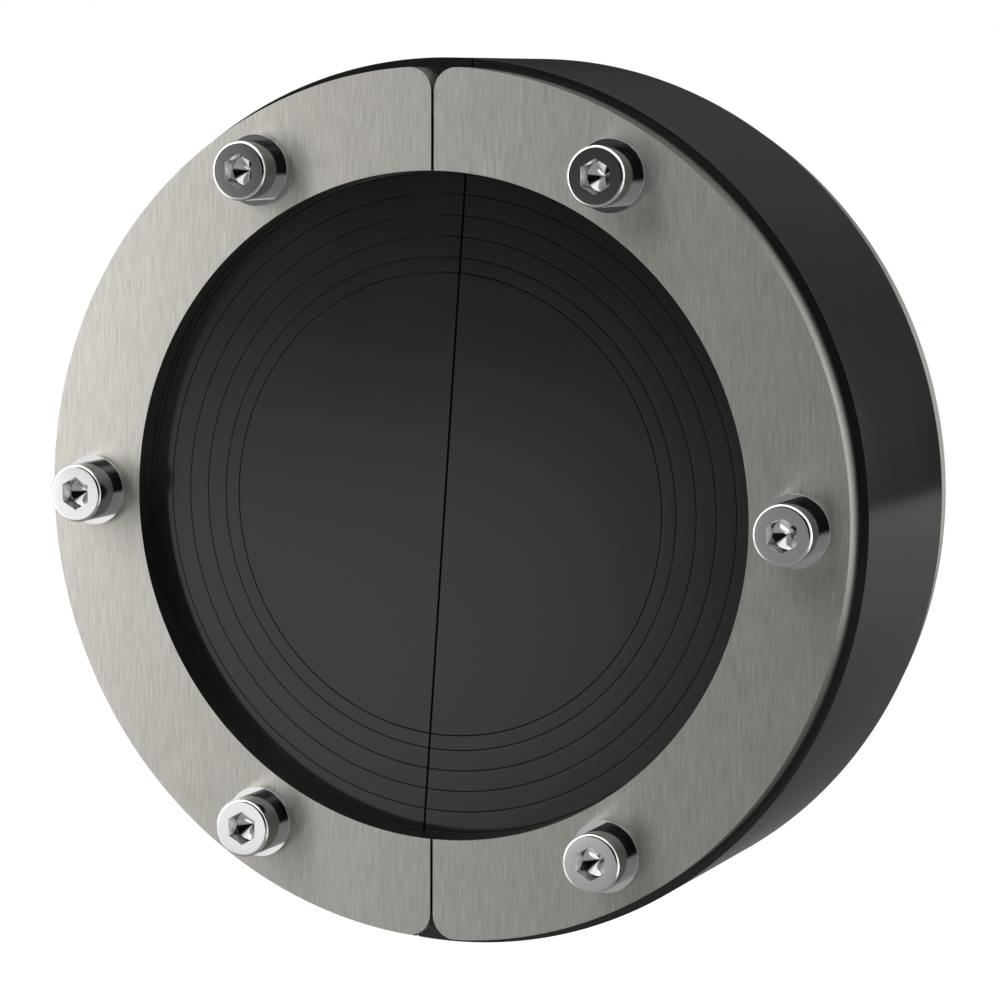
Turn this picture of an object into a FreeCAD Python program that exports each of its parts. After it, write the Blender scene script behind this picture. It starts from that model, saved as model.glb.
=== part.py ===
import FreeCAD, Part
import math
import os

# A split press seal. It closes the ring-shaped gap between a pipe and a round hole in a wall.
# Two steel pressure plates hold a rubber body between them, and screws pull them together, so that
# the rubber swells against the hole and the pipe. Every ring is split in two halves, so that the
# seal also goes round a pipe that is already in place. The rubber inside the plates is cut into
# nested rings, which are peeled out to suit the pipe, round a core that closes the seal blind.
# The axis runs along Y, the screw heads face -Y, and the origin is the middle of the rubber.
# Lengths are in millimetres and angles in degrees.

# Rubber. The ring walls run from the core outwards.
rubber_diameter = 149.0
rubber_width = 39.0
rubber_joint_gap = 0.4
rubber_joint_turn = 3.87
ring_walls = (2.5, 3.5, 3.5, 3.5, 3.5)
knife_gap = 0.2

# Pressure plates
plate_setback = 1.5
plate_band = 17.0
pipe_clearance = 0.4
front_plate_thickness = 5.0
rear_plate_thickness = 7.0
plate_joint_gap = 0.4
plate_corner_radius = 4.0
plate_edge_break = 0.1

# Screws and washers
screws_per_half = 3
screw_setback = 8.75
thread_diameter = 6.0
head_diameter = 10.0
head_height = 6.0
head_edge_radius = 0.5
socket_width = 5.0
socket_depth = 2.8
socket_corner_depth = 1.6
socket_floor_angle = 120.0
screw_tip_reach = 2.4
screw_tip_chamfer = 0.6
washer_thickness = 1.6
washer_overhang = 1.0
washer_edge_break = 0.2
washer_bore_clearance = 0.2
plate_hole_clearance = 0.3
rubber_hole_clearance = 0.5
thread_clearance = 0.05
thread_mouth_chamfer = 0.4

# Levels along the axis, from the front to the back
rubber_front = -rubber_width / 2
rubber_back = rubber_width / 2
plate_front = rubber_front - front_plate_thickness
washer_front = plate_front - washer_thickness
head_front = washer_front - head_height
plate_back = rubber_back + rear_plate_thickness
screw_end = plate_back + screw_tip_reach

# Radii, from the wall inwards
rubber_radius = rubber_diameter / 2
plate_outer_radius = rubber_radius - plate_setback
screw_circle_radius = plate_outer_radius - screw_setback
plate_inner_radius = plate_outer_radius - plate_band
outermost_cut_radius = plate_inner_radius - pipe_clearance
core_radius = outermost_cut_radius - sum(ring_walls)
cut_radii = [core_radius + sum(ring_walls[:count]) for count in range(len(ring_walls) + 1)]
thread_radius = thread_diameter / 2
head_radius = head_diameter / 2
washer_radius = head_radius + washer_overhang

# A cutting tool runs this far past the face that it enters or leaves
tool_overrun = 1.0
# Levels closer than this are the same
same_level = 0.001

AXIS = FreeCAD.Vector(0, 1, 0)
CENTRE = FreeCAD.Vector(0, 0, 0)
HALVES = {"right": 0.0, "left": 180.0}


def at(x, z, y=0.0):
    """Point in the plane across the axis, at a level along the axis."""
    return FreeCAD.Vector(x, y, z)


def edge(start, end):
    """Straight edge."""
    return Part.LineSegment(start, end).toShape()


def bend(start, middle, end):
    """Round edge through three points."""
    return Part.Arc(start, middle, end).toShape()


def on_circle(radius, offset):
    """Height of a circle above the point where it is offset from the joint."""
    return math.sqrt(radius ** 2 - offset ** 2)


def half_ring(outer, inner, front, back, joint_gap, corner=0.0):
    """Half of a ring on the +X side of its joint. An inner radius of 0 gives a half disc."""
    side = joint_gap / 2
    if corner > 0:
        middle = at(side + corner, on_circle(outer - corner, side + corner))
        on_joint = at(side, middle.z)
        on_rim = middle * (outer / (outer - corner))
        across = (on_joint - middle).normalize() + (on_rim - middle).normalize()
        crown = middle + across.normalize() * corner
    else:
        on_joint = at(side, on_circle(outer, side))
        on_rim = on_joint
    outline = [bend(on_rim, at(outer, 0), at(on_rim.x, -on_rim.z))]
    if corner > 0:
        outline.insert(0, bend(on_joint, crown, on_rim))
        outline.append(bend(at(on_rim.x, -on_rim.z), at(crown.x, -crown.z), at(side, -on_joint.z)))
    if inner > 0:
        inner_height = on_circle(inner, side)
        outline.append(edge(at(side, -on_joint.z), at(side, -inner_height)))
        outline.append(bend(at(side, -inner_height), at(inner, 0), at(side, inner_height)))
        outline.append(edge(at(side, inner_height), on_joint))
    else:
        outline.append(edge(at(side, -on_joint.z), on_joint))
    face = Part.Face(Part.Wire(outline))
    face.translate(AXIS * front)
    return face.extrude(AXIS * (back - front))


def turned(shape, angle):
    """The shape turned about the seal's axis, from +Z towards +X."""
    copy = shape.copy()
    copy.rotate(CENTRE, AXIS, angle)
    return copy


def lathe(points):
    """Solid of revolution about Y. Each point is a radius and a level along the axis."""
    outline = Part.makePolygon([at(radius, 0, level) for radius, level in points + points[:1]])
    return Part.Face(outline).revolve(CENTRE, AXIS, 360)


def rod(radius, front, back):
    """Cylinder on the axis, between two levels."""
    return Part.makeCylinder(radius, back - front, AXIS * front, AXIS)


def edges_at(shape, level):
    """The edges that lie wholly at one level along the axis."""
    return [rim for rim in shape.Edges
            if abs(rim.BoundBox.YMin - level) < same_level
            and abs(rim.BoundBox.YMax - level) < same_level]


def screw_angles():
    """Places of one half's screws, measured from the middle of that half."""
    step = 180.0 / screws_per_half
    return [step * (place - (screws_per_half - 1) / 2) for place in range(screws_per_half)]


def on_screw_circle(shape, angle):
    """The shape moved out from the axis to a screw's place."""
    copy = shape.copy()
    copy.translate(at(screw_circle_radius, 0))
    return turned(copy, angle)


def drilled(shape, tool):
    """A half ring with the tool's hole cut at each of its screws."""
    for angle in screw_angles():
        shape = shape.cut(on_screw_circle(tool, angle))
    return shape


def pressure_plate(front, back, hole):
    """Half of a pressure plate, with the sharp edges of both faces broken."""
    blank = half_ring(plate_outer_radius, plate_inner_radius, front, back, plate_joint_gap,
                      plate_corner_radius)
    blank = blank.makeChamfer(plate_edge_break, edges_at(blank, front) + edges_at(blank, back))
    return drilled(blank, hole)


def clearance_hole():
    """The screw passes through this hole in the front plate."""
    radius = thread_radius + plate_hole_clearance
    return rod(radius, plate_front - tool_overrun, rubber_front + tool_overrun)


def tapped_hole():
    """The screw's thread runs in this hole, whose mouths are countersunk."""
    radius = thread_radius + thread_clearance
    mouth = radius + thread_mouth_chamfer
    tool_start = rubber_back - tool_overrun
    tool_end = plate_back + tool_overrun
    return lathe([(0, tool_start), (mouth, tool_start), (mouth, rubber_back),
                  (radius, rubber_back + thread_mouth_chamfer),
                  (radius, plate_back - thread_mouth_chamfer),
                  (mouth, plate_back), (mouth, tool_end), (0, tool_end)])


def seal_body():
    """Half of the rubber outside the outermost cut, which the screws pass through."""
    blank = half_ring(rubber_radius, outermost_cut_radius + knife_gap / 2, rubber_front,
                      rubber_back, rubber_joint_gap)
    hole = rod(thread_radius + rubber_hole_clearance, rubber_front - tool_overrun,
               rubber_back + tool_overrun)
    return drilled(turned(blank, rubber_joint_turn), hole)


def segment_ring(inner_cut, outer_cut):
    """Half of one peelable ring, between two circular knife cuts."""
    blank = half_ring(outer_cut - knife_gap / 2, inner_cut + knife_gap / 2, rubber_front,
                      rubber_back, rubber_joint_gap)
    return turned(blank, rubber_joint_turn)


def blind_core():
    """Half of the disc that closes the seal while no pipe runs through it."""
    blank = half_ring(core_radius - knife_gap / 2, 0, rubber_front, rubber_back, rubber_joint_gap)
    return turned(blank, rubber_joint_turn)


def hexagon_socket():
    """A hexagon with a corner up, ending on the cone that the drill leaves.

    The socket's depth is measured at the middle of its flats. The corners, which are cut beside
    the drilled hole, run out at a lesser depth.
    """
    mouth = head_front - tool_overrun
    flat_radius = socket_width / 2
    corner_radius = flat_radius / math.cos(math.pi / 6)
    turns = [math.pi / 3 * corner for corner in range(7)]
    corners = [at(corner_radius * math.sin(turn), corner_radius * math.cos(turn), mouth)
               for turn in turns]
    hexagon = Part.Face(Part.makePolygon(corners)).extrude(AXIS * (head_height + tool_overrun))
    drop = 1 / math.tan(math.radians(socket_floor_angle / 2))
    floor = head_front + socket_depth
    drill = lathe([(0, mouth), (head_radius, mouth),
                   (head_radius, head_front + socket_corner_depth),
                   (corner_radius, head_front + socket_corner_depth), (flat_radius, floor),
                   (0, floor + flat_radius * drop)])
    return hexagon.common(drill)


def cap_screw():
    """Socket head cap screw, plain where the real one is threaded."""
    tip_radius = thread_radius - screw_tip_chamfer
    turned_bar = lathe([(0, head_front), (head_radius, head_front), (head_radius, washer_front),
                        (thread_radius, washer_front),
                        (thread_radius, screw_end - screw_tip_chamfer),
                        (tip_radius, screw_end), (0, screw_end)])
    front_rim = [rim for rim in edges_at(turned_bar, head_front) if rim.isClosed()]
    return turned_bar.makeFillet(head_edge_radius, front_rim).cut(hexagon_socket())


def washer():
    """Flat washer with the outer edges of both faces broken."""
    bore = thread_radius + washer_bore_clearance
    edge_break = washer_edge_break
    return lathe([(bore, washer_front), (washer_radius - edge_break, washer_front),
                  (washer_radius, washer_front + edge_break),
                  (washer_radius, plate_front - edge_break),
                  (washer_radius - edge_break, plate_front), (bore, plate_front)])


def half_pieces():
    """Every piece of the +X half, by its name without the side."""
    pieces = {
        "front_plate_{side}": pressure_plate(plate_front, rubber_front, clearance_hole()),
        "rear_plate_{side}": pressure_plate(rubber_back, plate_back, tapped_hole()),
        "seal_body_{side}": seal_body(),
        "core_{side}": blind_core(),
    }
    for number, (inner_cut, outer_cut) in enumerate(zip(cut_radii, cut_radii[1:]), start=1):
        pieces["segment_ring_%d_{side}" % number] = segment_ring(inner_cut, outer_cut)
    for number, angle in enumerate(screw_angles(), start=1):
        pieces["cap_screw_{side}_%d" % number] = on_screw_circle(cap_screw(), angle)
        pieces["washer_{side}_%d" % number] = on_screw_circle(washer(), angle)
    return pieces


os.makedirs("parts", exist_ok=True)
right_half = half_pieces()
for side, angle in HALVES.items():
    for name, shape in right_half.items():
        node = name.format(side=side)
        piece = turned(shape, angle)
        piece.exportStep("parts/%s.step" % node)
        print(node, "valid", piece.isValid(), "volume %.1f" % piece.Volume)
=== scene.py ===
import math

import bmesh
import bpy
from mathutils import Matrix, Vector


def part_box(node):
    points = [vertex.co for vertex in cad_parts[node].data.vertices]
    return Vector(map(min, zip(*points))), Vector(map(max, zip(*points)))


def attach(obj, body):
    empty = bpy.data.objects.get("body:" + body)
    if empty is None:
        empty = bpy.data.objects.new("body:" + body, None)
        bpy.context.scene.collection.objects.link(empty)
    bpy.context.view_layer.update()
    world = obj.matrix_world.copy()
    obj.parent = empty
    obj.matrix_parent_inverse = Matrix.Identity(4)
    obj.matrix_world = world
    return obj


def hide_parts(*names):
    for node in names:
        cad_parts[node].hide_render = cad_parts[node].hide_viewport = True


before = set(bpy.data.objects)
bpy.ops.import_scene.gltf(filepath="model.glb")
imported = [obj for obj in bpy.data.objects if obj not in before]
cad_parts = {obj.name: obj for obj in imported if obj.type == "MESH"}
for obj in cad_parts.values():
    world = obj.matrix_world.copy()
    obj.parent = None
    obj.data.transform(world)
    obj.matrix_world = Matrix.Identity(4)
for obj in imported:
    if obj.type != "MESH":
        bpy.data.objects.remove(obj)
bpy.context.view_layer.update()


# The rubber body and core. The body is one thick ring in two halves, with holes for the screws, and
# the core is what the last knife cut leaves inside. Both are black rubber. Their joint leans a
# little against that of the plates, and is open at the faces but pressed together inside.

MM = 0.001
least_length = 0.001 * MM
rubber_joint_gap = 0.4 * MM
pressed_joint_gap = 0.0
pressed_from = 1 / 3
rubber_joint_turn = math.radians(3.87)
rubber_rim_round = 0.04 * MM
rubber_rim_steps = 4
knife_edge_round = 0.015 * MM
knife_edge_steps = 2
rubber_hole_radius = 3.5 * MM
screw_circle_radius = 64.25 * MM
screw_turns = (-math.pi / 3, 0, math.pi / 3)
half_turn = {"right": 0.0, "left": math.pi}
rim_steps = 240
opening_steps = 200
corner_steps = 12
hole_steps = 72
smooth_below = math.cos(math.radians(28))
rubber_dark = (0.0079, 0.0079, 0.0080, 1)
rubber_light = (0.0106, 0.0106, 0.0106, 1)
rubber_roughness = (0.10, 0.14)
clouds_per_metre = 60.0
grains_per_metre = 2600.0
grain_strength = 0.03
grain_depth = 0.01 * MM


def radii(node):
    """The least and the greatest distance of a solid from the seal's axis."""
    distances = [math.hypot(v.co.x, v.co.z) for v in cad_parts[node].data.vertices]
    return min(distances), max(distances)


def levels(node):
    """Where a solid begins and ends along the axis."""
    low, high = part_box(node)
    return low.y, high.y


def arc(centre, radius, start, end, steps):
    """Points along an arc across the axis, as (x, z). Angles run from +X towards +Z."""
    angles = [start + (end - start) * step / steps for step in range(steps + 1)]
    return [(centre[0] + radius * math.cos(a), centre[1] + radius * math.sin(a)) for a in angles]


def half_ring_outline(outer, inner, joint_gap, corner=0.0, turn=0.0, inside_gap=None):
    """Outline of half a ring on the +X side of its joint, as a function of an inset.

    The corners where the rim meets the joint may be rounded. An inner radius of 0 gives half a
    disc. The joint may be narrower inside the piece than at its faces.
    """
    def outline(inset, inside=False):
        pressed = inside and inside_gap is not None
        side = inside_gap / 2 if pressed else joint_gap / 2 + inset
        rim = outer - inset
        bend = max(corner - inset, least_length)
        height = math.sqrt((rim - bend) ** 2 - (side + bend) ** 2)
        lean = math.atan2(height, side + bend)
        points = arc((side + bend, height), bend, math.pi, lean, corner_steps)
        points += arc((0, 0), rim, lean, -lean, rim_steps)[1:-1]
        points += arc((side + bend, -height), bend, -lean, -math.pi, corner_steps)
        if inner > 0:
            opening = math.acos(side / (inner + inset))
            points += arc((0, 0), inner + inset, -opening, opening, opening_steps)
        return [(x * math.cos(turn) + z * math.sin(turn), z * math.cos(turn) - x * math.sin(turn))
                for x, z in points]
    return outline


def hole_outline(radius, turn):
    """Outline of a screw's hole, as a function of how much wider its mouth is."""
    centre = (screw_circle_radius * math.cos(turn), screw_circle_radius * math.sin(turn))
    around = 2 * math.pi
    return lambda inset, inside=False: arc(centre, radius + inset, 0, around, hole_steps)[:-1]


def slab(name, front, back, cuts, steps):
    """A flat piece between two levels, with each cut's edges rounded or broken on both faces.

    A cut is an outline and the width of its broken edge. One step gives a chamfer. Each row of
    points has an inset, a level, and whether it lies inside, where a joint may be pressed.
    """
    shape = bmesh.new()
    for outline, broken in cuts:
        quarter = [math.pi / 2 * step / steps for step in range(steps + 1)]
        rows = [(broken * (1 - math.sin(a)), front + broken * (1 - math.cos(a)), False)
                for a in quarter]
        rows.append((0, front + (back - front) * pressed_from, True))
        rows += [(inset, front + back - level, inside) for inset, level, inside in reversed(rows)]
        loops = []
        for inset, level, inside in rows:
            loops.append([shape.verts.new((x, level, z)) for x, z in outline(inset, inside)])
        for first, second in zip(loops, loops[1:]):
            for place in range(len(first)):
                shape.faces.new((first[place - 1], first[place], second[place], second[place - 1]))
    for level in (front, back):
        rim = [e for e in shape.edges
               if e.is_boundary and abs(e.verts[0].co.y - level) < least_length]
        bmesh.ops.triangle_fill(shape, edges=rim, use_beauty=True)
    bmesh.ops.recalc_face_normals(shape, faces=shape.faces)
    mesh = bpy.data.meshes.new(name)
    shape.to_mesh(mesh)
    shape.free()
    return mesh


def shade(mesh):
    """Smooth shading in which a large face stays flat and the small faces beside it lean to it.

    Two finishes always meet in a sharp edge.
    """
    mesh.shade_smooth()
    beside = [[] for vertex in mesh.vertices]
    for polygon in mesh.polygons:
        for vertex in polygon.vertices:
            beside[vertex].append((polygon.normal.copy(), polygon.area, polygon.material_index))
    normals = []
    for polygon in mesh.polygons:
        for vertex in polygon.vertices:
            near = [normal * area for normal, area, finish in beside[vertex]
                    if finish == polygon.material_index
                    and normal.dot(polygon.normal) > smooth_below]
            normals.append(sum(near, Vector()).normalized())
    mesh.normals_split_custom_set(normals)


def half_piece(name, mesh, side, node, finishes, finish_of=lambda face: 0):
    """Puts a +X half on its side, in the place of its solid, and gives each face its finish."""
    mesh.transform(Matrix.Rotation(half_turn[side], 4, "Y"))
    mesh.materials.clear()
    for finish in finishes:
        mesh.materials.append(finish)
    for face in mesh.polygons:
        face.material_index = finish_of(face)
    shade(mesh)
    piece = bpy.data.objects.new(name, mesh)
    bpy.context.scene.collection.objects.link(piece)
    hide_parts(node)
    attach(piece, "root")


def add(tree, kind, **settings):
    """A node of that kind. A setting names a property, or an input that gets a value or a link."""
    node = tree.nodes.new(kind)
    for name, value in settings.items():
        if hasattr(node, name):
            setattr(node, name, value)
            continue
        socket = next(s for s in node.inputs if s.enabled and s.name == name.replace("_", " "))
        if isinstance(value, bpy.types.NodeSocket):
            tree.links.new(value, socket)
        else:
            socket.default_value = value
    return node


def blend(tree, share, first, second, kind="RGBA"):
    """A mix of two colours or numbers, by a share from 0 to 1."""
    node = add(tree, "ShaderNodeMix", data_type=kind, Factor=share)
    offered = [s for s in node.inputs if s.enabled][-2:]
    for socket, value in zip(offered, (first, second)):
        if isinstance(value, bpy.types.NodeSocket):
            tree.links.new(value, socket)
        else:
            socket.default_value = value
    return next(s for s in node.outputs if s.enabled)


def cut_rubber():
    """Black rubber, cut smooth: a soft gloss with faint clouding and a very fine grain."""
    material = bpy.data.materials.new("cut_rubber")
    material.use_nodes = True
    tree = material.node_tree
    shader = tree.nodes["Principled BSDF"]
    place = tree.nodes.new("ShaderNodeTexCoord").outputs["Object"]
    clouds = add(tree, "ShaderNodeTexNoise", Vector=place, Scale=clouds_per_metre,
                 Detail=4.0).outputs[0]
    grain = add(tree, "ShaderNodeTexNoise", Vector=place, Scale=grains_per_metre,
                Detail=3.0).outputs[0]
    tone = blend(tree, clouds, rubber_dark, rubber_light)
    tree.links.new(tone, shader.inputs["Base Color"])
    gloss = add(tree, "ShaderNodeMapRange", Value=clouds, To_Min=rubber_roughness[0],
                To_Max=rubber_roughness[1])
    tree.links.new(gloss.outputs[0], shader.inputs["Roughness"])
    bump = add(tree, "ShaderNodeBump", Height=grain, Strength=grain_strength,
               Distance=grain_depth)
    tree.links.new(bump.outputs[0], shader.inputs["Normal"])
    return material


rubber = cut_rubber()
rubber_front, rubber_back = levels("seal_body_right")
body_inner, body_outer = radii("seal_body_right")
core_outer = radii("core_right")[1]
body_cuts = [(half_ring_outline(body_outer, body_inner, rubber_joint_gap, 0.0,
                                rubber_joint_turn, pressed_joint_gap), rubber_rim_round)]
body_cuts += [(hole_outline(rubber_hole_radius, turn), knife_edge_round) for turn in screw_turns]
core_cuts = [(half_ring_outline(core_outer, 0, rubber_joint_gap, 0.0,
                                rubber_joint_turn, pressed_joint_gap), knife_edge_round)]
for side in half_turn:
    half_piece("seal_body_%s_cut" % side,
               slab("seal_body", rubber_front, rubber_back, body_cuts, rubber_rim_steps),
               side, "seal_body_" + side, [rubber])
    half_piece("core_%s_cut" % side,
               slab("core", rubber_front, rubber_back, core_cuts, knife_edge_steps),
               side, "core_" + side, [rubber])


# The peelable rings. Five thin rings of the same rubber lie between the core and the body, parted
# by knife cuts, and are peeled out one by one to suit the pipe. Each is in two halves too.

peelable_rings = 5
ring_swell = 0.025 * MM
inside_reach = 0.25


def geometry_tree(name, sizes, others=()):
    """A Geometry Nodes tree with an input geometry, named sizes, and other (name, kind) inputs."""
    tree = bpy.data.node_groups.new(name, "GeometryNodeTree")
    tree.is_modifier = True
    tree.interface.new_socket("Geometry", in_out="INPUT", socket_type="NodeSocketGeometry")
    for size in sizes:
        tree.interface.new_socket(size, in_out="INPUT", socket_type="NodeSocketFloat")
    for other, kind in others:
        tree.interface.new_socket(other, in_out="INPUT", socket_type=kind)
    tree.interface.new_socket("Geometry", in_out="OUTPUT", socket_type="NodeSocketGeometry")
    return tree, tree.nodes.new("NodeGroupInput"), tree.nodes.new("NodeGroupOutput")


def sum_of(tree, operation, first, second):
    """A sum done by the tree on two numbers or sockets."""
    node = add(tree, "ShaderNodeMath", operation=operation)
    for socket, value in zip(node.inputs, (first, second)):
        if isinstance(value, bpy.types.NodeSocket):
            tree.links.new(value, socket)
        else:
            socket.default_value = value
    return node.outputs[0]


def finished(tree, output, mesh, material):
    """Ends a tree: the instances made real, and the material set."""
    real = add(tree, "GeometryNodeRealizeInstances", Geometry=mesh)
    painted = add(tree, "GeometryNodeSetMaterial", Geometry=real.outputs[0], Material=material)
    tree.links.new(painted.outputs[0], output.inputs[0])


def peelable_ring_tree():
    """Half of a ring on the +X side of its joint: a rounded rectangle swept along half a circle.

    Its ends are pressed to the joint, which is narrower inside than at the faces, and are cut into
    triangles before that, so that they stay closed. The long sides of the rectangle have points at
    their thirds, and those count as inside.
    """
    tree, inputs, output = geometry_tree(
        "peelable_ring",
        ("Outer radius", "Inner radius", "Front", "Back", "Joint gap", "Inside gap", "Edge round",
         "Turn"),
        [("Material", "NodeSocketMaterial")])
    get = inputs.outputs
    width = sum_of(tree, "SUBTRACT", get["Outer radius"], get["Inner radius"])
    depth = sum_of(tree, "SUBTRACT", get["Back"], get["Front"])
    middle = sum_of(tree, "ADD", get["Front"], get["Back"])
    section = add(tree, "GeometryNodeCurvePrimitiveQuadrilateral", Width=width, Height=depth)
    thirds = add(tree, "GeometryNodeSubdivideCurve", Curve=section.outputs[0], Cuts=2)
    rounded = add(tree, "GeometryNodeFilletCurve", mode="POLY", Curve=thirds.outputs[0],
                  Count=knife_edge_steps, Radius=get["Edge round"], Limit_Radius=True)
    inside_rim = add(tree, "ShaderNodeCombineXYZ", X=sum_of(tree, "MULTIPLY", width, -0.5),
                     Y=sum_of(tree, "MULTIPLY", middle, -0.5))
    placed = add(tree, "GeometryNodeTransform", Geometry=rounded.outputs[0],
                 Translation=inside_rim.outputs[0])
    rim = add(tree, "GeometryNodeCurveArc", Resolution=rim_steps + 1,
              Radius=get["Outer radius"], Start_Angle=-math.pi / 2, Sweep_Angle=math.pi)
    swept = add(tree, "GeometryNodeCurveToMesh", Curve=rim.outputs[0],
                Profile_Curve=placed.outputs[0], Fill_Caps=True)
    whole = add(tree, "GeometryNodeMergeByDistance", Geometry=swept.outputs[0], Distance=least_length)
    triangles = add(tree, "GeometryNodeTriangulate", Mesh=whole.outputs[0])
    place = add(tree, "GeometryNodeInputPosition")
    across = add(tree, "ShaderNodeSeparateXYZ", Vector=place.outputs[0]).outputs
    from_middle = sum_of(tree, "ABSOLUTE", sum_of(
        tree, "ADD", across[2], sum_of(tree, "MULTIPLY", middle, 0.5)), 0.0)
    inside = sum_of(tree, "LESS_THAN", from_middle,
                    sum_of(tree, "MULTIPLY", depth, inside_reach))
    gap = blend(tree, inside, get["Joint gap"], get["Inside gap"], kind="FLOAT")
    side = sum_of(tree, "MULTIPLY", gap, 0.5)
    pressed = add(tree, "ShaderNodeCombineXYZ", X=sum_of(tree, "MAXIMUM", across[0], side),
                  Y=across[1], Z=across[2])
    fitted = add(tree, "GeometryNodeSetPosition", Geometry=triangles.outputs[0],
                 Position=pressed.outputs[0])
    upright = add(tree, "GeometryNodeTransform", Geometry=fitted.outputs[0],
                  Rotation=(math.pi / 2, 0, 0))
    lean = add(tree, "ShaderNodeCombineXYZ", Y=get["Turn"])
    leaning = add(tree, "GeometryNodeTransform", Geometry=upright.outputs[0],
                  Rotation=lean.outputs[0])
    finished(tree, output, leaning.outputs[0], get["Material"])
    return tree


def grown(name, tree, values, pattern=None):
    """The plain mesh that a tree makes from a pattern mesh and the values of its named inputs."""
    carrier = bpy.data.objects.new(name, pattern or bpy.data.meshes.new(name))
    bpy.context.scene.collection.objects.link(carrier)
    modifier = carrier.modifiers.new(name, "NODES")
    modifier.node_group = tree
    for item in tree.interface.items_tree:
        if item.in_out == "INPUT" and item.name in values:
            modifier[item.identifier] = values[item.name]
    bpy.context.view_layer.update()
    evaluated = carrier.evaluated_get(bpy.context.evaluated_depsgraph_get())
    mesh = bpy.data.meshes.new_from_object(evaluated)
    bpy.data.objects.remove(carrier)
    return mesh


ring_tree = peelable_ring_tree()
for number in range(1, peelable_rings + 1):
    for side in half_turn:
        ring = "segment_ring_%d_%s" % (number, side)
        inner, outer = radii(ring)
        mesh = grown(ring, ring_tree, {
            "Outer radius": outer + ring_swell, "Inner radius": inner - ring_swell,
            "Front": rubber_front, "Back": rubber_back, "Joint gap": rubber_joint_gap,
            "Inside gap": pressed_joint_gap, "Edge round": knife_edge_round,
            "Turn": rubber_joint_turn, "Material": rubber})
        half_piece(ring + "_cut", mesh, side, ring, [rubber])


# The pressure plates. Each is a flat ring in two halves, laser cut from stainless plate that was
# brushed along the joint, and its rim is turned. The screws squeeze the rubber between them.

plate_joint_gap = 0.5 * MM
plate_corner_radius = 4.0 * MM
plate_edge_break = 0.008 * MM
clearance_hole_radius = 3.3 * MM
tapped_hole_radius = 3.05 * MM
thread_mouth_chamfer = 0.4 * MM
scratch_dark = (0.290, 0.280, 0.258)
scratch_light = (0.770, 0.745, 0.685)
wide_share = 0.1
gloss_spread = 0.05
flat_from = 0.9
BRUSHED, TURNED, LASER_CUT = range(3)


def brushed_steel(name, fine_scale, wide_scale, roughness, brightness=1.0):
    """Stainless steel with long fine scratches in tone and gloss, drawn out along one direction.

    The scales say how often the scratches come along X, Y and Z, per metre.
    """
    dark = [part * brightness for part in scratch_dark] + [1]
    light = [part * brightness for part in scratch_light] + [1]
    material = bpy.data.materials.new(name)
    material.use_nodes = True
    tree = material.node_tree
    shader = tree.nodes["Principled BSDF"]
    shader.inputs["Metallic"].default_value = 1.0
    place = tree.nodes.new("ShaderNodeTexCoord").outputs["Object"]
    layers = []
    for scale in (fine_scale, wide_scale):
        stretched = add(tree, "ShaderNodeMapping", Vector=place, Scale=scale)
        layers.append(add(tree, "ShaderNodeTexNoise", Vector=stretched.outputs[0], Scale=1.0,
                          Detail=2.0).outputs[0])
    scratches = blend(tree, wide_share, *layers, kind="FLOAT")
    tone = blend(tree, scratches, dark, light)
    tree.links.new(tone, shader.inputs["Base Color"])
    gloss = add(tree, "ShaderNodeMapRange", Value=scratches, To_Min=roughness - gloss_spread,
                To_Max=roughness + gloss_spread)
    tree.links.new(gloss.outputs[0], shader.inputs["Roughness"])
    return material, shader


def plate_finish_of(face):
    """The flat faces are brushed, the rim and its corners turned, and the rest is laser cut."""
    if abs(face.normal.y) >= flat_from:
        return BRUSHED
    corners_reach = plate_corner_radius + 0.2 * MM
    on_rim = math.hypot(face.center.x, face.center.z) > plate_outer - corners_reach
    return TURNED if on_rim else LASER_CUT


brushed, brushed_shader = brushed_steel(
    "brushed_plate", (7600, 7600, 240), (1600, 1600, 150), roughness=0.36)
brushed_shader.inputs["Anisotropic"].default_value = 0.83
brushed_shader.inputs["Anisotropic Rotation"].default_value = 0.25
turned = brushed_steel(
    "turned_rim", (60, 4200, 60), (12, 900, 12), roughness=0.33, brightness=0.77)[0]
laser_cut = brushed_steel(
    "laser_cut_edge", (60, 4200, 60), (12, 900, 12), roughness=0.22)[0]
for plate, hole_radius, hole_break in (
        ("front_plate", clearance_hole_radius, plate_edge_break),
        ("rear_plate", tapped_hole_radius, thread_mouth_chamfer)):
    plate_inner, plate_outer = radii(plate + "_right")
    plate_cuts = [(half_ring_outline(plate_outer, plate_inner, plate_joint_gap,
                                     plate_corner_radius), plate_edge_break)]
    plate_cuts += [(hole_outline(hole_radius, turn), hole_break) for turn in screw_turns]
    for side in half_turn:
        half_piece("%s_%s_brushed" % (plate, side),
                   slab(plate, *levels(plate + "_right"), plate_cuts, steps=1),
                   side, "%s_%s" % (plate, side), [brushed, turned, laser_cut],
                   plate_finish_of)


# The screws and their washers. Six polished socket head cap screws pull the plates together. They
# run in the rear plate's threads, and their tips stand out behind it. One screw and one washer are
# modelled, and the same tree sets each round the seal.

washer_radius = 6.0 * MM
washer_bore_radius = 3.2 * MM
washer_edge_break = 0.012 * MM
thread_radius = 3.0 * MM
thread_pitch = 1.0 * MM
thread_depth = 0.54 * MM
threaded_length = 4 * thread_pitch
thread_rows = 64
head_radius = 5.0 * MM
head_edge_round = 0.5 * MM
head_edge_steps = 8
socket_flat_radius = 2.5 * MM
socket_depth = 2.8 * MM
socket_corner_depth = 1.6 * MM
socket_cone_angle = math.radians(120)
socket_drop = 1 / math.tan(socket_cone_angle / 2)
socket_mouth_round = 0.01 * MM
screw_tip_chamfer = 0.6 * MM
columns = 96
haze_per_metre = 300.0
screws_per_half = len(screw_turns)


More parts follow.
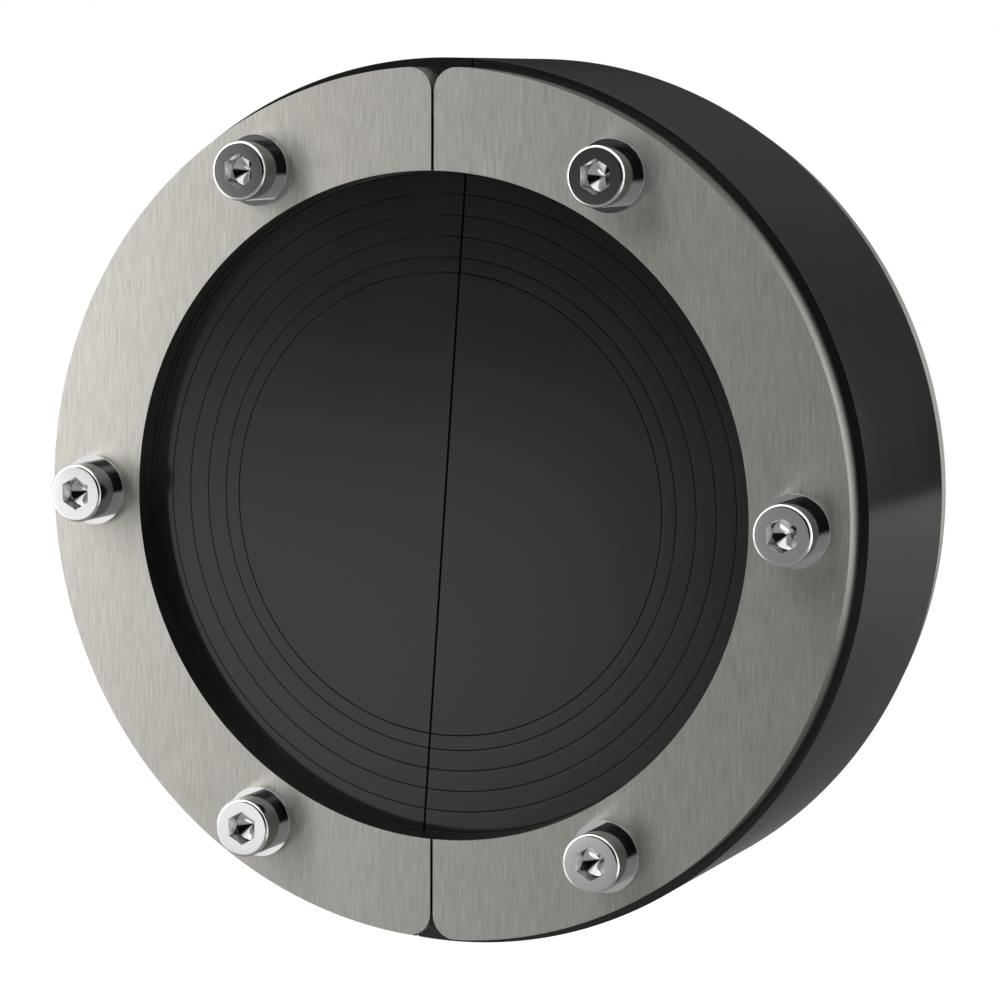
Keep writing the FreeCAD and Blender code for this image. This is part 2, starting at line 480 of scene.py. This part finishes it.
def screw_steel(name, grey, smooth, rough):
    """Stainless steel whose gloss varies a little from place to place."""
    material = bpy.data.materials.new(name)
    material.use_nodes = True
    tree = material.node_tree
    shader = tree.nodes["Principled BSDF"]
    shader.inputs["Metallic"].default_value = 1.0
    shader.inputs["Base Color"].default_value = (grey, grey, grey, 1)
    place = tree.nodes.new("ShaderNodeTexCoord").outputs["Object"]
    haze = add(tree, "ShaderNodeTexNoise", Vector=place, Scale=haze_per_metre, Detail=2.0)
    gloss = add(tree, "ShaderNodeMapRange", Value=haze.outputs[0], To_Min=smooth, To_Max=rough)
    tree.links.new(gloss.outputs[0], shader.inputs["Roughness"])
    return material


finishes = {
    "Polished": screw_steel("polished_steel", grey=0.80, smooth=0.05, rough=0.09),
    "Drawn": screw_steel("drawn_steel", grey=0.50, smooth=0.09, rough=0.13),
    "Cone": screw_steel("socket_cone", grey=0.84, smooth=0.08, rough=0.12),
    "Wall": screw_steel("socket_wall", grey=0.74, smooth=0.25, rough=0.30),
    # The socket's corners are painted a dark grey as shade deep in their run-outs; their rougher
    # gloss is their own.
    "Corner_shade": screw_steel("socket_corner_painted_shade", grey=0.25, smooth=0.20, rough=0.25),
}
POLISHED, DRAWN, CONE, WALL, CORNER_SHADE = range(len(finishes))


def ring_of_fasteners_tree():
    """Sets the pattern round the seal's axis at even steps, unturned, each face in its finish."""
    tree, inputs, output = geometry_tree(
        "ring_of_fasteners", ("Circle radius",),
        [("Count", "NodeSocketInt")] + [(name, "NodeSocketMaterial") for name in finishes])
    get = inputs.outputs
    circle = add(tree, "GeometryNodeMeshCircle", Vertices=get["Count"],
                 Radius=get["Circle radius"])
    upright = add(tree, "GeometryNodeTransform", Geometry=circle.outputs[0],
                  Rotation=(math.pi / 2, 0, 0))
    row = add(tree, "GeometryNodeInstanceOnPoints", Points=upright.outputs[0],
              Instance=get["Geometry"])
    real = add(tree, "GeometryNodeRealizeInstances", Geometry=row.outputs[0])
    finish = add(tree, "GeometryNodeInputNamedAttribute", data_type="INT", Name="finish")
    painted = real
    for number, material in enumerate(finishes):
        same = add(tree, "FunctionNodeCompare", data_type="INT", operation="EQUAL",
                   A=finish.outputs[0], B=number)
        painted = add(tree, "GeometryNodeSetMaterial", Geometry=painted.outputs[0],
                      Selection=same.outputs[0], Material=get[material])
    tree.links.new(painted.outputs[0], output.inputs[0])
    return tree


def skin(name, rings, finish_after, closed=True):
    """A closed surface round Y through rings of points. A ring of one point is a pole.

    A finish is given for the faces after each ring, and the last one is also that of the rest.
    """
    shape = bmesh.new()
    finish = shape.faces.layers.int.new("finish")
    loops = [[shape.verts.new(point) for point in ring] for ring in rings]
    pairs = list(zip(loops, loops[1:]))
    if closed:
        pairs.append((loops[-1], loops[0]))
    for number, (first, second) in enumerate(pairs):
        for column in range(columns):
            after = (column + 1) % columns
            if len(first) == 1:
                face = shape.faces.new((first[0], second[column], second[after]))
            elif len(second) == 1:
                face = shape.faces.new((first[column], second[0], first[after]))
            else:
                face = shape.faces.new((first[column], second[column], second[after],
                                        first[after]))
            face[finish] = finish_after[min(number, len(finish_after) - 1)]
    bmesh.ops.recalc_face_normals(shape, faces=shape.faces)
    mesh = bpy.data.meshes.new(name)
    shape.to_mesh(mesh)
    shape.free()
    return mesh


def turn_of(column):
    """Angle of a column of points, from +X towards +Z."""
    return 2 * math.pi * column / columns


def round_ring(radius, level):
    """A circle of points round Y."""
    return [(radius * math.cos(turn_of(c)), level, radius * math.sin(turn_of(c)))
            for c in range(columns)]


def hexagon_radius(turn):
    """Distance from the socket's axis to its wall. The flats face +X and every 60 degrees on."""
    off_flat = (turn + math.pi / 6) % (math.pi / 3) - math.pi / 6
    return socket_flat_radius / math.cos(off_flat)


def hexagon_ring(growth, level_at):
    """A ring along the socket's wall, at a level that depends on the distance from the axis."""
    ring = []
    for column in range(columns):
        turn = turn_of(column)
        radius = hexagon_radius(turn) + growth
        ring.append((radius * math.cos(turn), level_at(radius), radius * math.sin(turn)))
    return ring


def thread_radius_at(level, turn, end):
    """Radius of a 60 degree thread that ends in a cone at the screw's tip.

    The crest, the two flanks and the root share out one pitch.
    """
    phase = (level / thread_pitch - turn / (2 * math.pi)) % 1.0
    crest, flank, root = 0.125, 0.3125, 0.25
    if phase < crest:
        cut = 0.0
    elif phase < crest + flank:
        cut = (phase - crest) / flank
    elif phase < crest + flank + root:
        cut = 1.0
    else:
        cut = (1.0 - phase) / flank
    tip = thread_radius - screw_tip_chamfer + (end - level)
    return min(thread_radius - thread_depth * cut, tip)


def cap_screw_mesh():
    """A socket head cap screw on the axis, from the socket over the head to the threaded tip."""
    low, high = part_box("cap_screw_right_2")
    washer_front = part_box("washer_right_2")[0].y
    floor = low.y + socket_depth
    run_out = low.y + socket_corner_depth
    corner_radius = socket_flat_radius / math.cos(math.pi / 6)

    def cone_level(radius):
        """Level of the drilled cone, and outside it of the way up to the socket's corners."""
        if radius <= socket_flat_radius:
            return floor + (socket_flat_radius - radius) * socket_drop
        share = (radius - socket_flat_radius) / (corner_radius - socket_flat_radius)
        return floor + (run_out - floor) * share

    rings = [[(0, cone_level(0), 0)]]
    rings += [round_ring(share * socket_flat_radius, cone_level(share * socket_flat_radius))
              for share in (0.25, 0.5, 0.75, 0.98)]
    rings.append(hexagon_ring(0, cone_level))
    rings.append(hexagon_ring(0, lambda radius: low.y + socket_mouth_round))
    rings.append(hexagon_ring(socket_mouth_round, lambda radius: low.y))
    for step in range(head_edge_steps + 1):
        turn = math.pi / 2 * step / head_edge_steps
        rings.append(round_ring(head_radius - head_edge_round * (1 - math.sin(turn)),
                                low.y + head_edge_round * (1 - math.cos(turn))))
    rings.append(round_ring(head_radius, washer_front))
    rings.append(round_ring(thread_radius, washer_front))
    thread_start = high.y - threaded_length
    rings.append(round_ring(thread_radius, thread_start))
    for row in range(1, thread_rows + 1):
        level = thread_start + (high.y - thread_start) * row / thread_rows
        ring = []
        for column in range(columns):
            radius = thread_radius_at(level, turn_of(column), high.y)
            ring.append((radius * math.cos(turn_of(column)), level,
                         radius * math.sin(turn_of(column))))
        rings.append(ring)
    rings.append([(0, high.y, 0)])
    # The drilled cone, the way up to its corners in a dark grey painted as shade, the socket's wall
    # and mouth, the head's front and rounded edge, and then the head's side and all that follows it
    finish_after = [CONE] * 4 + [CORNER_SHADE] + [WALL] * 2 + [POLISHED] * 9 + [DRAWN]
    return skin("cap_screw", rings, finish_after, closed=False)


def washer_mesh():
    """A flat washer on the axis, with its outer edges broken."""
    low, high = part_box("washer_right_2")
    breaks = washer_edge_break
    return skin("washer", [
        round_ring(washer_bore_radius, low.y), round_ring(washer_radius - breaks, low.y),
        round_ring(washer_radius, low.y + breaks), round_ring(washer_radius, high.y - breaks),
        round_ring(washer_radius - breaks, high.y), round_ring(washer_bore_radius, high.y)],
        [POLISHED])


fasteners_tree = ring_of_fasteners_tree()
for name, nodes, pattern in (("cap_screws", "cap_screw", cap_screw_mesh()),
                             ("flat_washers", "washer", washer_mesh())):
    mesh = grown(name, fasteners_tree, {
        "Circle radius": screw_circle_radius, "Count": len(half_turn) * screws_per_half,
        **finishes}, pattern)
    shade(mesh)
    fasteners = bpy.data.objects.new(name, mesh)
    bpy.context.scene.collection.objects.link(fasteners)
    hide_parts(*["%s_%s_%d" % (nodes, side, number)
                             for side in half_turn
                             for number in range(1, screws_per_half + 1)])
    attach(fasteners, "root")


# The studio. A pale floor below the seal, a white background, and soft light from three large
# panels. Three graded cards, which only reflections show, give the steel and the rubber their dark
# sides. The camera looks at the seal from its right, slightly from above.

floor_level = -1000 * MM
floor_radius = 8.0
floor_paint = (0.7, 0.7, 0.7, 1)
floor_glow = 0.55
white = (1, 1, 1, 1)
room_light = (0.65, 0.65, 0.65, 1)
panel_distance = 2.5
card_distance = 5.0


def shows_background(tree):
    """1 for the rays that show the background, straight to the camera, mirrored or let through."""
    path = tree.nodes.new("ShaderNodeLightPath").outputs
    seen = sum_of(tree, "MAXIMUM", path["Is Camera Ray"], path["Is Transmission Ray"])
    return sum_of(tree, "MAXIMUM", seen, path["Is Glossy Ray"])


def studio_floor():
    """A pale floor that looks white, but for the shadow that falls on it."""
    shape = bmesh.new()
    bmesh.ops.create_circle(shape, cap_ends=True, segments=96, radius=floor_radius)
    mesh = bpy.data.meshes.new("floor")
    shape.to_mesh(mesh)
    shape.free()
    mesh.transform(Matrix.Translation((0, 0, floor_level)))
    material = bpy.data.materials.new("pale_floor")
    material.use_nodes = True
    tree = material.node_tree
    tree.nodes.clear()
    paint = add(tree, "ShaderNodeBsdfDiffuse", Color=floor_paint)
    glow = add(tree, "ShaderNodeEmission", Color=white,
               Strength=sum_of(tree, "MULTIPLY", shows_background(tree), floor_glow))
    both = add(tree, "ShaderNodeAddShader")
    tree.links.new(paint.outputs[0], both.inputs[0])
    tree.links.new(glow.outputs[0], both.inputs[1])
    add(tree, "ShaderNodeOutputMaterial", Surface=both.outputs[0])
    mesh.materials.append(material)
    floor = bpy.data.objects.new("floor", mesh)
    bpy.context.scene.collection.objects.link(floor)


def studio_world():
    """White wherever the background shows, and a soft even light elsewhere."""
    world = bpy.data.worlds.new("studio")
    bpy.context.scene.world = world
    world.use_nodes = True
    tree = world.node_tree
    tree.nodes.clear()
    tone = blend(tree, shows_background(tree), room_light, white)
    surround = add(tree, "ShaderNodeBackground", Color=tone, Strength=1.0)
    add(tree, "ShaderNodeOutputWorld", Surface=surround.outputs[0])


def towards(azimuth, elevation):
    """A direction from the seal, in degrees. Azimuth 0 is -Y, the front, and 90 is +X."""
    turn, rise = math.radians(azimuth), math.radians(elevation)
    return Vector((math.sin(turn) * math.cos(rise), -math.cos(turn) * math.cos(rise),
                   math.sin(rise)))


def fade(value, start, end):
    """0 up to the start and 1 from the end on, with a soft step between. The end may be lower."""
    share = min(max((value - start) / (end - start), 0.0), 1.0)
    return share * share * (3 - 2 * share)


def soft_panel(name, azimuths, elevations, strength):
    """A large soft lamp that covers these angles as seen from the seal, and faces it."""
    width, height = (2 * panel_distance * math.tan(math.radians(high - low) / 2)
                     for low, high in (azimuths, elevations))
    lamp = bpy.data.lights.new(name, "AREA")
    lamp.shape = "RECTANGLE"
    lamp.size = width
    lamp.size_y = height
    lamp.energy = strength * width * height * math.pi
    facing = towards(sum(azimuths) / 2, sum(elevations) / 2)
    panel = bpy.data.objects.new(name, lamp)
    bpy.context.scene.collection.objects.link(panel)
    panel.location = facing * panel_distance
    panel.rotation_euler = (-facing).to_track_quat("-Z", "Y").to_euler()
    panel.visible_camera = False


def graded_card(name, azimuths, elevations, tone_at):
    """A large curved card that only reflections show.

    Its tone follows the direction. Where it would pass through the floor, it lies on it instead.
    """
    degrees_wide, degrees_high = (int(high - low) for low, high in (azimuths, elevations))
    shape = bmesh.new()
    tones = []
    grid = []
    for up in range(degrees_high + 1):
        grid.append([])
        for along in range(degrees_wide + 1):
            azimuth, elevation = azimuths[0] + along, elevations[0] + up
            way = towards(azimuth, elevation)
            reach = card_distance
            if way.z < 0:
                reach = min(card_distance, (floor_level + MM) / way.z)
            grid[-1].append(shape.verts.new(way * reach))
            tones.append(tone_at(azimuth, elevation))
    for low, high in zip(grid, grid[1:]):
        for along in range(degrees_wide):
            shape.faces.new((low[along], low[along + 1], high[along + 1], high[along]))
    mesh = bpy.data.meshes.new(name)
    shape.to_mesh(mesh)
    shape.free()
    mesh.attributes.new("tone", "FLOAT", "POINT").data.foreach_set("value", tones)
    material = bpy.data.materials.new(name)
    material.use_nodes = True
    tree = material.node_tree
    tree.nodes.clear()
    tone = add(tree, "ShaderNodeAttribute", attribute_name="tone")
    light = add(tree, "ShaderNodeEmission", Color=white, Strength=tone.outputs["Fac"])
    add(tree, "ShaderNodeOutputMaterial", Surface=light.outputs[0])
    mesh.materials.append(material)
    card = bpy.data.objects.new(name, mesh)
    bpy.context.scene.collection.objects.link(card)
    card.visible_camera = False
    card.visible_diffuse = False
    card.visible_transmission = False
    card.visible_shadow = False


def front_tone(azimuth, elevation):
    """Dark in front of the seal, grey below, with a light strip low on the left.

    Each fade runs over degrees, or over how far the direction points right or up, out of 1. The
    last one turns the card as white as the background towards its borders.
    """
    way = towards(azimuth, elevation)
    ahead = 0.003 + 0.04 * fade(azimuth, -8, -25) + 0.957 * fade(azimuth, -25.7, -42.1)
    low_left = fade(way.x, -0.38, -0.46) * fade(way.z, -0.45, -0.3)
    below = (0.32 + 0.36 * low_left) * fade(way.z, -0.07, -0.21)
    ledge = 0.235 * fade(way.z, -0.05, -0.11) * fade(azimuth, -5, -15)
    strip = 1.1 * math.exp(-((way.z + 0.155) / 0.063) ** 2) * fade(way.x, -0.327, -0.418)
    tone = min(max(ahead, below, ledge) + strip, 1)
    card = fade(elevation, 40, 28) * fade(azimuth, 62, 47)
    return 1 + (tone - 1) * card


def rear_tone(azimuth, elevation):
    """Dark behind the seal on the right, and lighter from just below eye level down."""
    level = towards(azimuth, elevation).z
    below = max(0.335 + 0.75 * (level + 0.11), 0.1)
    above = 0.03 + 0.03 * fade(level, 0.04, 0.16) * fade(azimuth, 215, 165)
    above += 0.3 * max(level - 0.17, 0)
    tone = below + (above - below) * fade(level, -0.108, -0.092)
    card = fade(azimuth, 137.5, 142.5) * fade(azimuth, 245, 235) * fade(elevation, 55, 45)
    return 1 + (tone - 1) * card


def low_tone(azimuth, elevation):
    """The floor below the seal, grey like the foot of the other cards, and white further out."""
    in_front = fade(azimuth, -52, -48) * fade(azimuth, 62, 47)
    behind = fade(abs(azimuth), 137.5, 142.5)
    return 1 - 0.72 * max(in_front, behind, fade(elevation, -33, -45))


def studio_camera():
    """The photograph's view: a long lens on a 36 mm frame, from the right and a little above."""
    azimuth, elevation, roll = (math.radians(a) for a in (-24.265, -6.873, 0.214))
    aim = Vector((0.010197, -0.019574, 0.00146))
    distance = 0.58174
    forward = Vector((math.sin(azimuth) * math.cos(elevation),
                      math.cos(azimuth) * math.cos(elevation), math.sin(elevation)))
    level = Vector((math.cos(azimuth), -math.sin(azimuth), 0))
    upward = level.cross(forward)
    across = math.cos(roll) * level + math.sin(roll) * upward
    rise = math.cos(roll) * upward - math.sin(roll) * level
    lens = bpy.data.cameras.new("camera")
    lens.sensor_width = 36.0
    lens.lens = 125.93
    lens.clip_start = 0.01
    camera = bpy.data.objects.new("camera", lens)
    bpy.context.scene.collection.objects.link(camera)
    place = Matrix((across, rise, -forward)).transposed().to_4x4()
    place.translation = aim - forward * distance
    camera.matrix_world = place
    bpy.context.scene.camera = camera


studio_floor()
studio_world()
soft_panel("left_panel", (-58.6, -32.4), (-11, 52), strength=1.95)
soft_panel("right_panel", (110.5, 157.4), (-20.4, 50.7), strength=1.52)
soft_panel("top_panel", (-30, 30), (60, 120), strength=1.49)
graded_card("front_card", (-48, 62), (-32, 40), front_tone)
graded_card("rear_card", (137, 245), (-32, 55), rear_tone)
graded_card("low_card", (-180, 180), (-88, -32), low_tone)
studio_camera()
bpy.context.scene.view_settings.view_transform = "Standard"
